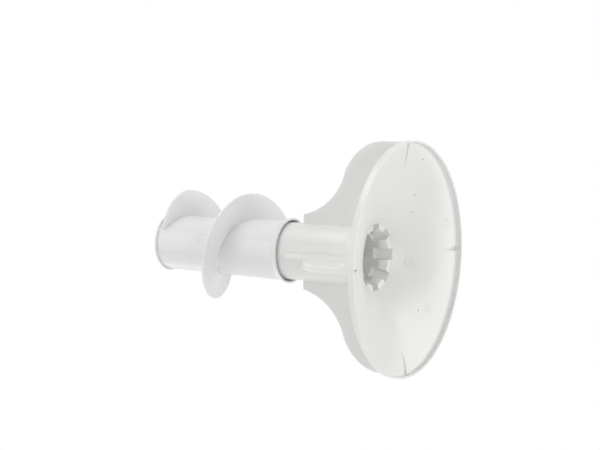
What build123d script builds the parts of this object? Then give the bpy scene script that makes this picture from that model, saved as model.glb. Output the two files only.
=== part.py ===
# Dual-action washing machine agitator, standing mouth down on its rim.
# Millimetres, +Z up the column, origin at the centre of the rim's lower edge, fins on the X and Y axes.
import os
from math import cos, hypot, radians, sin, sqrt

from build123d import *

# Skirt and rim
rim_radius = 165.0
rim_height = 8.8
rim_band = 3.0
rim_ledge = 1.8
skirt_wall = 3.0
skirt_curve_radius = 229.0
skirt_rise = 53.7
skirt_column_fillet = 52.0
mouth_radius = 46.0

# Column, neck and web
column_radius = 41.2
column_above_fins = 24.0
neck_wall = 3.2
neck_radius = 36.6
neck_length = 108.0
collar_radius = 33.0
collar_length = 19.0
drive_bore_radius = 36.0
lead_in_height = 10.0
lead_in_width = 1.5
web_height = 148.0
web_thickness = 8.0
web_boss_radius = 14.0
web_boss_height = 6.0

# Castellated drive socket
recess_count = 8
recess_width = 16.0
recess_height = 24.0
recess_mouth_radius = 47.0
recess_end_radius = 39.0
recess_start_below = 3.0
drive_rib_depth = 1.5
drive_rib_width = 1.4
drive_rib_spacing = 7.0
drive_rib_clear = 2.0

# Fins
fin_count = 4
fin_height = 171.0
fin_top_radius = 54.5
fin_top_lean = 0.23
fin_top_sweep = 43.0
fin_waist_radius = 114.5
fin_waist_height = 105.0
fin_waist_slope = 0.28
fin_waist_sweep_in = 19.0
fin_waist_sweep_out = 15.5
fin_edge_straight = 42.0
fin_edge_sweep = 38.5
fin_edge_thickness = 9.0
fin_root_thickness = 4.6
fin_wall = 2.4
fin_slit_width = 5.2
fin_slit_inner_radius = 130.0
fin_core_top = 86.0
fin_foot_width = 11.0
fin_foot_height = 12.0
fin_foot_inner_radius = 128.0
fin_foot_inner_share = 0.1

# Auger sleeve
lip_overlap = 3.0
lip_radius = 47.0
lip_band = 2.6
lip_edge_height = 2.5
lip_flare_height = 9.0
barrel_foot_radius = 43.5
barrel_top_radius = 40.2
barrel_past_clutch = 60.4
barrel_wall = 2.4

# Spiral vane, left-handed
vane_radius = 79.0
vane_thickness = 4.4
vane_edge = 3.2
vane_foot_rise = 31.0
vane_tip_gap = 5.6
vane_foot_angle = 213.0
vane_sweep_angle = 540.0
vane_tip_taper = 66.0
vane_foot_taper = 42.0
vane_end_clear = 8.0
vane_end_proud = 0.5
vane_end_band = 36.0
vane_foot_band = 44.0

# Auger's inner ledge, ratchet teeth and retainer groove
ledge_thickness = 3.0
tooth_count = 36
tooth_tip_radius = 35.6
tooth_depth = 2.6
tooth_foot_above_cam = 2.0
tooth_height = 16.0
tooth_face_angle = -10.8
groove_depth = 1.0

# Clutch cam and dogs
cam_floor = 3.5
cam_radius = 34.8
cam_wall = 3.3
cam_hub_radius = 18.0
cam_bore_radius = 15.0
cam_height = 18.6
cam_key_width = 8.0
cam_key_depth = 6.0
cam_window_start = -18.0
cam_window_end = 20.0
dog_count = 4
dog_pivot_radius = 25.0
dog_pivot_angle = 25.0
dog_boss_radius = 5.0
dog_pin_radius = 2.6
dog_arm_half_width = 4.2
dog_tip_radius = 34.4
dog_tip_angle = -12.0
dog_heel_radius = 30.2
dog_heel_angle = -13.5
pin_clearance = 0.1

# Rings, caps, bolt and seals
washer_thickness = 2.2
bearing_height = 16.0
bearing_rim = 3.0
bearing_slots = 6
bearing_slot_width = 5.0
bearing_slot_depth = 1.6
retainer_thickness = 2.6
retainer_inner_radius = 28.0
retainer_split = 7.0
retainer_split_angle = -90.0
retainer_hole_radius = 1.2
retainer_hole_inset = 3.5
retainer_hole_spread = 14.0
inner_cap_flange = 17.4
inner_cap_thickness = 2.4
inner_cap_plug = 11.0
inner_cap_wall = 4.0
seal_section = 1.2
seal_squeeze_gap = 0.1
inner_cap_grip_width = 3.2
inner_cap_grip_height = 12.0
cap_flange_radius = 42.5
cap_flange_height = 3.5
cap_dome_height = 4.0
cap_dome_shoulder = 0.75
cap_edge_bevel = 1.0
cap_plug_height = 12.0
cap_wall = 2.2
cap_roof = 2.4
cap_pocket_radius = 17.0
cap_pocket_depth = 6.0
cap_grip_width = 7.0
bolt_radius = 5.5
bolt_head_flats = 16.0
bolt_head_height = 7.0
bolt_washer_radius = 12.0
bolt_washer_thickness = 1.6
bolt_seal_thickness = 1.5
bolt_shank_radius = 5.2
bolt_reach = 38.0
bolt_thread_below_web = 2.0
bolt_lead = 1.0

# Clearances
running_gap = 0.4
seat_gap = 0.15
face_gap = 0.3
bolt_hole_gap = 0.45

# How far a cutting shape reaches past the wall it cuts
cut_past = 1.0

# Heights and radii that follow from the values above
column_height = fin_height + column_above_fins
neck_height = column_height + neck_length
collar_height = neck_height + collar_length
lip_bottom = column_height - lip_overlap
fin_radius = rim_radius - rim_ledge
rim_inner_radius = rim_radius - rim_band
neck_inner_radius = neck_radius - neck_wall
collar_inner_radius = collar_radius - neck_wall
web_top = web_height + web_thickness
boss_top = web_top + web_boss_height
washer_top = neck_height + washer_thickness
ledge_bottom = washer_top + face_gap
cam_top = collar_height + cam_height
barrel_top = cam_top + barrel_past_clutch
tooth_root_radius = tooth_tip_radius + tooth_depth
tooth_bottom = collar_height + tooth_foot_above_cam
retainer_bottom = cam_top + running_gap
seal_height = cam_top - inner_cap_plug / 2
seal_ring_radius = cam_bore_radius - seal_section - seal_squeeze_gap
vane_foot_height = lip_bottom + vane_foot_rise
vane_rise = barrel_top - vane_tip_gap - vane_thickness - vane_foot_height
vane_pitch = vane_rise * 360 / vane_sweep_angle
vane_root_radius = barrel_top_radius - barrel_wall / 2
vane_end_radius = barrel_foot_radius + vane_end_proud
flare_top = lip_bottom + lip_flare_height
ledge_top = ledge_bottom + ledge_thickness
ledge_radius = collar_radius + running_gap
groove_bottom = retainer_bottom - seat_gap
groove_top = retainer_bottom + retainer_thickness + seat_gap
cap_inside = barrel_top + cap_flange_height + cap_dome_height - cap_pocket_depth - cap_roof
head_bottom = boss_top + bolt_seal_thickness + bolt_washer_thickness


def polar(radius, angle):
    """A point in the XY plane at this radius and angle in degrees."""
    return (radius * cos(radians(angle)), radius * sin(radians(angle)))


def skirt_centre():
    """Centre of the arc, in radius and height, that the skirt's outer face follows from ledge to column."""
    start = (fin_radius, rim_height)
    end = (column_radius, rim_height + skirt_rise)
    chord = hypot(start[0] - end[0], start[1] - end[1])
    stand_off = sqrt(skirt_curve_radius**2 - (chord / 2) ** 2)
    along = ((start[0] - end[0]) / chord, (start[1] - end[1]) / chord)
    middle = ((start[0] + end[0]) / 2, (start[1] + end[1]) / 2)
    return (middle[0] - along[1] * stand_off, middle[1] + along[0] * stand_off)


def skirt_height(radius, depth=0.0):
    """Height of the skirt at a radius, at this depth below its outer face."""
    centre_radius, centre_height = skirt_centre()
    return centre_height - sqrt((skirt_curve_radius + depth) ** 2 - (centre_radius - radius) ** 2)


def barrel_radius(height):
    """Outer radius of the auger's barrel, which narrows evenly from its foot to its top."""
    foot = lip_bottom + lip_flare_height
    share = (height - foot) / (barrel_top - foot)
    return barrel_foot_radius + (barrel_top_radius - barrel_foot_radius) * share


def barrel_bore(height):
    """Inner radius of the auger's barrel."""
    return barrel_radius(height) - barrel_wall


groove_radius = barrel_bore(groove_bottom) + groove_depth
bearing_radius = barrel_bore(column_height + bearing_height) - running_gap
hub_face = skirt_height(mouth_radius, skirt_wall)
recess_bottom = skirt_height(recess_mouth_radius, skirt_wall)
recess_top = recess_bottom + recess_height

# Base moulding: skirt, rim, column, neck and web are one turned shell
with BuildPart() as base:
    with BuildSketch(Plane.XZ) as shell:
        with BuildLine() as outline:
            Polyline(
                (0, 0),
                (rim_radius, 0),
                (rim_radius, rim_height),
                (fin_radius, rim_height),
            )
            middle_radius = (fin_radius + column_radius) / 2
            ThreePointArc(
                (fin_radius, rim_height),
                (middle_radius, skirt_height(middle_radius)),
                (column_radius, rim_height + skirt_rise),
            )
            Polyline(
                (column_radius, rim_height + skirt_rise),
                (column_radius, column_height),
                (neck_radius, column_height),
                (neck_radius, neck_height),
                (collar_radius, neck_height),
                (collar_radius, collar_height),
                (0, collar_height),
                (0, 0),
            )
        make_face()
        skirt_corner = (column_radius, rim_height + skirt_rise, 0)
        fillet(shell.vertices().sort_by_distance(skirt_corner)[0], radius=skirt_column_fillet)
        with BuildLine() as bell_and_bore:
            bell_start = skirt_height(rim_inner_radius, skirt_wall)
            Polyline((0, 0), (rim_inner_radius, 0), (rim_inner_radius, bell_start))
            bell_middle = (rim_inner_radius + mouth_radius) / 2
            ThreePointArc(
                (rim_inner_radius, bell_start),
                (bell_middle, skirt_height(bell_middle, skirt_wall)),
                (mouth_radius, hub_face),
            )
            Polyline(
                (mouth_radius, hub_face),
                (drive_bore_radius + lead_in_width, hub_face),
                (drive_bore_radius, hub_face + lead_in_height),
                (drive_bore_radius, web_height),
                (0, web_height),
                (0, 0),
            )
        make_face(mode=Mode.SUBTRACT)
        with BuildLine() as neck_inside:
            Polyline(
                (0, boss_top),
                (web_boss_radius, boss_top),
                (web_boss_radius, web_top),
                (neck_inner_radius, web_top),
                (neck_inner_radius, neck_height - 2 * neck_wall),
                (collar_inner_radius, neck_height - neck_wall),
                (collar_inner_radius, collar_height),
                (0, collar_height),
                (0, boss_top),
            )
        make_face(mode=Mode.SUBTRACT)
    revolve(axis=Axis.Z)
    with Locations((0, 0, web_height)):
        Cylinder(
            bolt_radius + bolt_hole_gap,
            web_thickness + web_boss_height,
            align=(Align.CENTER, Align.CENTER, Align.MIN),
            mode=Mode.SUBTRACT,
        )

# One fin: its S-shaped outline made thick, then narrowed in plan towards the column
with BuildPart() as fin:
    with BuildSketch(Plane.XZ):
        with BuildLine():
            fin_foot = skirt_height(fin_radius, skirt_wall / 2)
            root_radius = column_radius - neck_wall
            root_foot = skirt_height(column_radius, skirt_wall / 2)
            waist_level = 1 / hypot(1, fin_waist_slope)
            top_level = 1 / hypot(1, fin_top_lean)
            Line((root_radius, root_foot), (root_radius, fin_height))
            Line((root_radius, fin_height), (fin_top_radius, fin_height))
            Bezier(
                (fin_top_radius, fin_height),
                (
                    fin_top_radius + fin_top_lean * top_level * fin_top_sweep,
                    fin_height - top_level * fin_top_sweep,
                ),
                (
                    fin_waist_radius - waist_level * fin_waist_sweep_in,
                    fin_waist_height + fin_waist_slope * waist_level * fin_waist_sweep_in,
                ),
                (fin_waist_radius, fin_waist_height),
            )
            Bezier(
                (fin_waist_radius, fin_waist_height),
                (
                    fin_waist_radius + waist_level * fin_waist_sweep_out,
                    fin_waist_height - fin_waist_slope * waist_level * fin_waist_sweep_out,
                ),
                (fin_radius, fin_edge_straight + fin_edge_sweep),
                (fin_radius, fin_edge_straight),
            )
            Line((fin_radius, fin_edge_straight), (fin_radius, fin_foot))
            ThreePointArc(
                (fin_radius, fin_foot),
                (middle_radius, skirt_height(middle_radius, skirt_wall / 2)),
                (column_radius, root_foot),
            )
            Line((column_radius, root_foot), (root_radius, root_foot))
        make_face()
    extrude(amount=fin_edge_thickness, both=True)
    with BuildSketch(Plane.XY):
        with BuildLine():
            Polyline(
                (0, fin_root_thickness / 2),
                (fin_radius + rim_ledge, fin_edge_thickness / 2),
                (fin_radius + rim_ledge, -fin_edge_thickness / 2),
                (0, -fin_root_thickness / 2),
                close=True,
            )
        make_face()
    extrude(amount=fin_height + rim_height, mode=Mode.INTERSECT)

# Flared foot at both sides of a fin, full at the rim and dying out inwards
with BuildPart() as fin_foot_flare:
    for side in (-1, 1):
        for at_radius, share in ((fin_radius, 1), (fin_foot_inner_radius, fin_foot_inner_share)):
            with BuildSketch(Plane(origin=(at_radius, 0, 0), x_dir=(0, 1, 0), z_dir=(1, 0, 0))):
                with BuildLine():
                    ground = skirt_height(at_radius, skirt_wall / 2)
                    reach = fin_edge_thickness / 2 + fin_foot_width * share
                    Polyline(
                        (0, ground),
                        (side * reach, ground),
                        (side * reach, ground + skirt_wall / 2),
                        (side * fin_edge_thickness / 2, ground + skirt_wall / 2 + fin_foot_height * share),
                        (0, ground + skirt_wall / 2 + fin_foot_height * share),
                        close=True,
                    )
                make_face()
        loft(ruled=True)

# The hollow inside a fin, a wedge that opens into the bell as a slit
with BuildPart() as fin_core:
    with BuildSketch(Plane.XZ):
        with BuildLine():
            Polyline(
                (fin_slit_inner_radius, 0),
                (fin_radius - fin_wall, 0),
                (fin_radius - fin_wall, fin_edge_straight - fin_wall),
                (fin_slit_inner_radius, fin_core_top),
                close=True,
            )
        make_face()
    extrude(amount=fin_edge_thickness, both=True)
    with BuildSketch(Plane.XY):
        with BuildLine():
            Polyline(
                (fin_slit_inner_radius, 0),
                (fin_radius, fin_slit_width / 2),
                (fin_radius, -fin_slit_width / 2),
                close=True,
            )
        make_face()
    extrude(amount=fin_core_top, mode=Mode.INTERSECT)

# One scooped recess of the drive socket
with BuildPart() as recess:
    with BuildSketch(Plane.XZ):
        with BuildLine():
            slope = (recess_mouth_radius - recess_end_radius) / recess_height
            Polyline(
                (drive_bore_radius - drive_rib_depth, recess_bottom - recess_start_below),
                (recess_mouth_radius + slope * recess_start_below, recess_bottom - recess_start_below),
                (recess_end_radius, recess_top),
                (drive_bore_radius - drive_rib_depth, recess_top),
                close=True,
            )
        make_face()
    extrude(amount=recess_width / 2, both=True)

with BuildPart() as agitator_base:
    add(base.part)
    with PolarLocations(0, fin_count):
        add(fin.part)
        add(fin_foot_flare.part)
    with PolarLocations(0, fin_count):
        add(fin_core.part, mode=Mode.SUBTRACT)
    with PolarLocations(0, recess_count):
        add(recess.part, mode=Mode.SUBTRACT)
    # pairs of thin ribs above every second recess
    with BuildSketch(Plane.XY.offset(recess_top + drive_rib_clear)):
        rib_length = drive_rib_depth + column_radius - drive_bore_radius - neck_wall / 2
        for quarter in range(fin_count):
            for side in (-1, 1):
                turn = 360 / fin_count * quarter
                middle = drive_bore_radius - drive_rib_depth + rib_length / 2
                across = side * drive_rib_spacing / 2
                spot_angle = radians(turn)
                spot = (
                    middle * cos(spot_angle) - across * sin(spot_angle),
                    middle * sin(spot_angle) + across * cos(spot_angle),
                )
                with Locations(Location((spot[0], spot[1], 0), (0, 0, turn))):
                    Rectangle(rib_length, drive_rib_width)
    extrude(amount=web_height - recess_top - drive_rib_clear)
    # notches in the collar's top for the cam's keys
    with Locations((0, 0, collar_height)):
        for turn in (0, 90):
            Box(
                2 * (collar_radius + cut_past),
                cam_key_width,
                2 * cam_key_depth,
                rotation=(0, 0, turn),
                mode=Mode.SUBTRACT,
            )
agitator_base.part.label = "agitator_base"

# Auger: outer body, vane and teeth in one moulding, bored out from the axis
with BuildPart() as vane:
    with BuildLine() as vane_path:
        Helix(vane_pitch, vane_rise, vane_radius, lefthand=True)
    with BuildSketch(Plane.XZ):
        with BuildLine():
            Polyline(
                (vane_root_radius, 0),
                (vane_radius, (vane_thickness - vane_edge) / 2),
                (vane_radius, (vane_thickness + vane_edge) / 2),
                (vane_root_radius, vane_thickness),
                close=True,
            )
        make_face()
    sweep(path=vane_path.line, is_frenet=True)


def taper_outline(full_angle, end_angle, past):
    """Points in plan outside the vane's edge, from its full radius in to the barrel and on past its end."""
    inward = []
    steps = 8
    for step in range(steps + 1):
        share = step / steps
        radius = vane_end_radius + (vane_radius - vane_end_radius) * cos(radians(90 * share))
        inward.append(polar(radius, full_angle + (end_angle - full_angle) * share))
    inward.append(polar(vane_end_radius, end_angle + past))
    outward = []
    for step in range(steps + 1):
        share = step / steps
        angle = end_angle + past + (full_angle - end_angle - past) * share
        outward.append(polar(vane_radius + vane_pitch / 4, angle))
    return inward + outward


with BuildPart() as auger:
    with BuildSketch(Plane.XZ):
        with BuildLine():
            Polyline(
                (0, lip_bottom),
                (lip_radius, lip_bottom),
                (lip_radius, lip_bottom + lip_edge_height),
                (barrel_foot_radius, flare_top),
                (barrel_top_radius, barrel_top),
                (0, barrel_top),
                close=True,
            )
        make_face()
    revolve(axis=Axis.Z)
    with Locations(Location((0, 0, vane_foot_height), (0, 0, vane_foot_angle))):
        add(vane.part)
    # the vane's ends run out into the barrel
    with BuildSketch(Plane.XY.offset(barrel_top - vane_end_band)):
        tip_angle = vane_foot_angle - vane_sweep_angle
        with BuildLine():
            Polyline(*taper_outline(tip_angle + vane_tip_taper, tip_angle, -vane_end_clear), close=True)
        make_face()
    extrude(amount=vane_end_band, mode=Mode.SUBTRACT)
    with BuildSketch(Plane.XY.offset(flare_top)):
        with BuildLine():
            foot_outline = taper_outline(vane_foot_angle - vane_foot_taper, vane_foot_angle, vane_end_clear)
            Polyline(*foot_outline, close=True)
        make_face()
    extrude(amount=vane_foot_band, mode=Mode.SUBTRACT)
    with BuildSketch(Plane.XZ):
        with BuildLine():
            Polyline(
                (0, lip_bottom),
                (lip_radius - lip_band, lip_bottom),
                (lip_radius - lip_band, lip_bottom + lip_edge_height),
                (barrel_bore(flare_top), flare_top),
                (barrel_bore(ledge_bottom), ledge_bottom),
                (ledge_radius, ledge_bottom),
                (ledge_radius, ledge_top),
                (barrel_bore(ledge_top), ledge_top),
                (barrel_bore(groove_bottom), groove_bottom),
                (groove_radius, groove_bottom),
                (groove_radius, groove_top),
                (barrel_bore(groove_top), groove_top),
                (barrel_bore(barrel_top), barrel_top),
                (0, barrel_top),
                close=True,
            )
        make_face()
    revolve(axis=Axis.Z, mode=Mode.SUBTRACT)
    # ring of saw teeth that the dogs push against
    with BuildSketch(Plane.XY.offset(tooth_bottom)):
        Circle(barrel_bore(tooth_bottom) + barrel_wall / 2)
        with BuildLine():
            corners = []
            for index in range(tooth_count):
                face_angle = tooth_face_angle + 360 / tooth_count * index
                corners.append(polar(tooth_tip_radius, face_angle))
                corners.append(polar(tooth_root_radius, face_angle))
            Polyline(*corners, close=True)
        make_face(mode=Mode.SUBTRACT)
    extrude(amount=tooth_height)
auger.part.label = "auger"

# Guide ring on the column's shoulder, inside the auger's lip
with BuildPart() as lower_bearing:
    with BuildSketch(Plane.XZ):
        with BuildLine():
            Polyline(
                (neck_radius + seat_gap, column_height),
                (barrel_bore(flare_top) + face_gap, column_height),
                (barrel_bore(flare_top) + face_gap, column_height + bearing_rim),
                (bearing_radius, flare_top + face_gap),
                (bearing_radius, column_height + bearing_height),
                (neck_radius + seat_gap, column_height + bearing_height),
                close=True,
            )
        make_face()
    revolve(axis=Axis.Z)
    # relief slots let wash water drain through
    with PolarLocations(bearing_radius + cut_past, bearing_slots):
        with Locations((0, 0, column_height + bearing_height)):
            Box(2 * (bearing_slot_depth + cut_past), bearing_slot_width, bearing_height, mode=Mode.SUBTRACT)
lower_bearing.part.label = "lower_bearing"

# Washer under the auger's inner ledge
with BuildPart() as thrust_washer:
    with BuildSketch(Plane.XY.offset(neck_height)):
        Circle(neck_radius - seat_gap)
        Circle(collar_radius + seat_gap, mode=Mode.SUBTRACT)
    extrude(amount=washer_thickness)
thrust_washer.part.label = "thrust_washer"

# Cam keyed into the collar, with four pins and four windows for the dogs
with BuildPart() as clutch_cam:
    with BuildSketch(Plane.XY.offset(collar_height)):
        Circle(cam_radius)
        Circle(cam_bore_radius, mode=Mode.SUBTRACT)
    extrude(amount=cam_floor)
    with BuildSketch(Plane.XY.offset(collar_height)):
        Circle(cam_hub_radius)
        Circle(cam_bore_radius, mode=Mode.SUBTRACT)
    extrude(amount=cam_height)
    with BuildSketch(Plane.XY.offset(collar_height)):
        Circle(cam_radius)
        Circle(cam_radius - cam_wall, mode=Mode.SUBTRACT)
        for index in range(dog_count):
            turn = 360 / dog_count * index
            with BuildLine():
                Polyline(
                    (0, 0),
                    polar(2 * cam_radius, turn + cam_window_start),
                    polar(2 * cam_radius, turn + cam_window_end),
                    close=True,
                )
            make_face(mode=Mode.SUBTRACT)
    extrude(amount=cam_height)
    with BuildSketch(Plane.XY.offset(collar_height)):
        with PolarLocations(dog_pivot_radius, dog_count, start_angle=dog_pivot_angle):
            Circle(dog_pin_radius)
    extrude(amount=cam_height)
    with BuildSketch(Plane.XY.offset(collar_height)):
        with PolarLocations((collar_radius + collar_inner_radius) / 2, dog_count):
            Rectangle(neck_wall - 2 * seat_gap, cam_key_width - 2 * seat_gap)
    extrude(amount=seat_gap - cam_key_depth)
clutch_cam.part.label = "clutch_cam"

# Dog: a toothed pawl on one of the cam's pins
pivot = polar(dog_pivot_radius, dog_pivot_angle)
dog_tip = polar(dog_tip_radius, dog_tip_angle)
dog_heel = polar(dog_heel_radius, dog_heel_angle)
reach = hypot(dog_heel[0] - pivot[0], dog_heel[1] - pivot[1])
across = (
    -(dog_heel[1] - pivot[1]) / reach * dog_arm_half_width,
    (dog_heel[0] - pivot[0]) / reach * dog_arm_half_width,
)
with BuildPart() as dog:
    with BuildSketch(Plane.XY.offset(collar_height + cam_floor + face_gap)):
        with Locations(pivot):
            Circle(dog_boss_radius)
        with BuildLine():
            Polyline(
                (pivot[0] + across[0], pivot[1] + across[1]),
                dog_tip,
                dog_heel,
                (pivot[0] - across[0], pivot[1] - across[1]),
                close=True,
            )
        make_face()
        with Locations(pivot):
            Circle(dog_pin_radius + pin_clearance, mode=Mode.SUBTRACT)
    extrude(amount=cam_height - cam_floor - 2 * face_gap)

dogs = []
for index in range(dog_count):
    turned = Rot(0, 0, 360 / dog_count * index) * dog.part
    turned.label = "dog_" + str(index + 1)
    dogs.append(turned)

# Snap ring in the auger's groove, over the dogs
with BuildPart() as clutch_retainer:
    with BuildSketch(Plane.XY.offset(retainer_bottom)):
        Circle(groove_radius - seat_gap)
        Circle(retainer_inner_radius, mode=Mode.SUBTRACT)
        # open gap so that it can be squeezed into its groove
        split_place = polar((groove_radius + retainer_inner_radius) / 2, retainer_split_angle)
        with Locations(Location((*split_place, 0), (0, 0, retainer_split_angle))):
            split_length = groove_radius - retainer_inner_radius + 2 * cut_past
            Rectangle(split_length, retainer_split, mode=Mode.SUBTRACT)
    extrude(amount=retainer_thickness)
    first_hole = retainer_split_angle - retainer_hole_spread
    last_hole = retainer_split_angle + retainer_hole_spread
    with Locations(*[
        Location((*polar(retainer_inner_radius + retainer_hole_inset, angle), retainer_bottom))
        for angle in (first_hole, last_hole)
    ]):
        Cylinder(
            retainer_hole_radius,
            retainer_thickness,
            align=(Align.CENTER, Align.CENTER, Align.MIN),
            mode=Mode.SUBTRACT,
        )
clutch_retainer.part.label = "clutch_retainer"

# Barrier cap in the cam's bore, with a ring seal and a finger grip
with BuildPart() as inner_cap:
    with BuildSketch(Plane.XZ):
        with BuildLine():
            Polyline(
                (0, cam_top),
                (cam_bore_radius - seat_gap - inner_cap_wall, cam_top),
                (cam_bore_radius - seat_gap - inner_cap_wall, cam_top - inner_cap_plug),
                (cam_bore_radius - seat_gap, cam_top - inner_cap_plug),
                (cam_bore_radius - seat_gap, seal_height - seal_section - seat_gap),
                (seal_ring_radius - seal_section, seal_height - seal_section - seat_gap),
                (seal_ring_radius - seal_section, seal_height + seal_section + seat_gap),
                (cam_bore_radius - seat_gap, seal_height + seal_section + seat_gap),
                (cam_bore_radius - seat_gap, cam_top),
                (inner_cap_flange, cam_top),
                (inner_cap_flange, cam_top + inner_cap_thickness),
                (0, cam_top + inner_cap_thickness),
                close=True,
            )
        make_face()
    revolve(axis=Axis.Z)
    with Locations((0, 0, cam_top + inner_cap_thickness / 2)):
        Box(
            2 * cam_bore_radius - 2 * inner_cap_wall,
            inner_cap_grip_width,
            inner_cap_grip_height + inner_cap_thickness / 2,
            align=(Align.CENTER, Align.CENTER, Align.MIN),
        )
inner_cap.part.label = "inner_cap"

with BuildPart() as inner_cap_seal:
    with BuildSketch(Plane.XZ):
        with Locations((seal_ring_radius, seal_height)):
            Circle(seal_section)
    revolve(axis=Axis.Z)
inner_cap_seal.part.label = "inner_cap_seal"

# Cap on the auger's far end, with two finger pockets
with BuildPart() as dust_cap:
    with BuildSketch(Plane.XZ):
        with BuildLine():
            plug_radius = barrel_bore(barrel_top) - seat_gap
            cap_edge_top = barrel_top + cap_flange_height
            Polyline(
                (0, cap_edge_top + cap_dome_height),
                (0, cap_inside),
                (plug_radius - cap_wall, cap_inside),
                (plug_radius - cap_wall, barrel_top - cap_plug_height),
                (plug_radius, barrel_top - cap_plug_height),
                (plug_radius, barrel_top),
                (cap_flange_radius, barrel_top),
                (cap_flange_radius, cap_edge_top - cap_edge_bevel),
                (cap_flange_radius - cap_edge_bevel, cap_edge_top),
            )
            ThreePointArc(
                (cap_flange_radius - cap_edge_bevel, cap_edge_top),
                (cap_flange_radius / 2, cap_edge_top + cap_dome_shoulder * cap_dome_height),
                (0, cap_edge_top + cap_dome_height),
            )
        make_face()
    revolve(axis=Axis.Z)
    with BuildSketch(Plane.XY.offset(cap_edge_top + cap_dome_height - cap_pocket_depth)):
        Circle(cap_pocket_radius)
        Rectangle(2 * cap_pocket_radius, cap_grip_width, mode=Mode.SUBTRACT)
    extrude(amount=cap_pocket_depth, mode=Mode.SUBTRACT)
dust_cap.part.label = "dust_cap"

# Mounting bolt with its washer and rubber seal on the web's boss
with BuildPart() as bolt_seal:
    with BuildSketch(Plane.XY.offset(boss_top)):
        Circle(bolt_washer_radius)
        Circle(bolt_shank_radius, mode=Mode.SUBTRACT)
    extrude(amount=bolt_seal_thickness)
bolt_seal.part.label = "bolt_seal"

with BuildPart() as bolt_washer:
    with BuildSketch(Plane.XY.offset(boss_top + bolt_seal_thickness)):
        Circle(bolt_washer_radius)
        Circle(bolt_radius + seat_gap, mode=Mode.SUBTRACT)
    extrude(amount=bolt_washer_thickness)
bolt_washer.part.label = "bolt_washer"

with BuildPart() as mounting_bolt:
    with BuildSketch(Plane.XY.offset(head_bottom)):
        RegularPolygon(bolt_head_flats / 2, 6, major_radius=False)
    extrude(amount=bolt_head_height)
    with Locations((0, 0, head_bottom)):
        Cylinder(
            bolt_shank_radius,
            head_bottom - web_height + bolt_thread_below_web,
            align=(Align.CENTER, Align.CENTER, Align.MAX),
        )
    with Locations((0, 0, web_height - bolt_thread_below_web)):
        Cylinder(
            bolt_radius,
            bolt_reach - bolt_thread_below_web,
            align=(Align.CENTER, Align.CENTER, Align.MAX),
        )
    chamfer(mounting_bolt.faces().sort_by(Axis.Z)[0].edges(), length=bolt_lead)
mounting_bolt.part.label = "mounting_bolt"

os.makedirs("parts", exist_ok=True)
export_step(agitator_base.part, "parts/agitator_base.step")
export_step(auger.part, "parts/auger.step")
export_step(lower_bearing.part, "parts/lower_bearing.step")
export_step(thrust_washer.part, "parts/thrust_washer.step")
export_step(clutch_cam.part, "parts/clutch_cam.step")
for turned in dogs:
    export_step(turned, "parts/" + turned.label + ".step")
export_step(clutch_retainer.part, "parts/clutch_retainer.step")
export_step(inner_cap.part, "parts/inner_cap.step")
export_step(inner_cap_seal.part, "parts/inner_cap_seal.step")
export_step(dust_cap.part, "parts/dust_cap.step")
export_step(bolt_seal.part, "parts/bolt_seal.step")
export_step(bolt_washer.part, "parts/bolt_washer.step")
export_step(mounting_bolt.part, "parts/mounting_bolt.step")
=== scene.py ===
import math

import bmesh
import bpy
import numpy as np
from mathutils import Matrix, Vector


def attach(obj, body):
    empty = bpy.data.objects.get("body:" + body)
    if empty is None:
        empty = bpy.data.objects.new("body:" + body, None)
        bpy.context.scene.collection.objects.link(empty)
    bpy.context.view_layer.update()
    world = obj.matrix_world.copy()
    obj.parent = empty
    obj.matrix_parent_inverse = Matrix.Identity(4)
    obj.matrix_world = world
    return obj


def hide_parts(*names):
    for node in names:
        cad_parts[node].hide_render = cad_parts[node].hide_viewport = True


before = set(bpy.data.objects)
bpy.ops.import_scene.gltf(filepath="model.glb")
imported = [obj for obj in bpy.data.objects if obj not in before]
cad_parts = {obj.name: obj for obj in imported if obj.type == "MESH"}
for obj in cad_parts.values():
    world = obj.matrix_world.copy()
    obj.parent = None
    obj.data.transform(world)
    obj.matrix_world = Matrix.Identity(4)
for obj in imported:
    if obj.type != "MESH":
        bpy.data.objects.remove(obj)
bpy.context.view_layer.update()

# Camera: the agitator stands on its rim on a pale floor, and the camera looks up into its mouth
# from below, past the floor, which shows only its upper face. Down the axis is right in the picture.
eye = Vector((2.1025, 0.2997, -1.0656))
aim = Vector((-0.0047, 0.0374, 0.1815))
picture_right = Vector((0, 0, -1))
picture_roll = math.radians(3.94)

camera_data = bpy.data.cameras.new("camera")
camera_data.lens = 102.84
camera_data.sensor_width = 36.0
camera = bpy.data.objects.new("camera", camera_data)
bpy.context.collection.objects.link(camera)
back = (eye - aim).normalized()
right = (picture_right - back * back.dot(picture_right)).normalized()
right = Matrix.Rotation(picture_roll, 3, back) @ right
up = back.cross(right)
camera.matrix_world = Matrix.Translation(eye) @ Matrix((right, up, back)).transposed().to_4x4()
bpy.context.scene.camera = camera
bpy.context.scene.view_settings.view_transform = "Standard"

# Agitator base: one white polypropylene moulding. Its outside is a trumpet skirt with four tall
# fins and a column; its inside is the bell, a castellated drive socket and the bolt's web.
# It is one closed net, with rows along the wall's section and columns round the axis.
rim_radius = 0.165
rim_height = 0.0088
rim_band = 0.003
rim_ledge = 0.0018
rim_round = 0.0006
notch_bottom = 0.0012
notch_depth = 0.0008
skirt_wall = 0.003
skirt_curve_radius = 0.229
skirt_rise = 0.0537
skirt_column_fillet = 0.052
column_radius = 0.0412
column_height = 0.195
fin_radius = rim_radius - rim_ledge
fin_height = 0.171
fin_edge_straight = 0.042
fin_corner_radius = 0.0545
fin_corner_lean = 0.23
fin_waist = (0.1145, 0.105)
fin_waist_slope = -0.28
fin_root_half = 0.0023
fin_edge_half = 0.0045
fin_edge_round = 0.0009
fin_root_fillet = 0.0050
fin_foot_width = 0.011
fin_foot_height = 0.012
fin_foot_inner_radius = 0.128
fin_foot_least = 0.1
fin_foot_straightening = 1.6
slit_mouth_half = 0.0040
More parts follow.
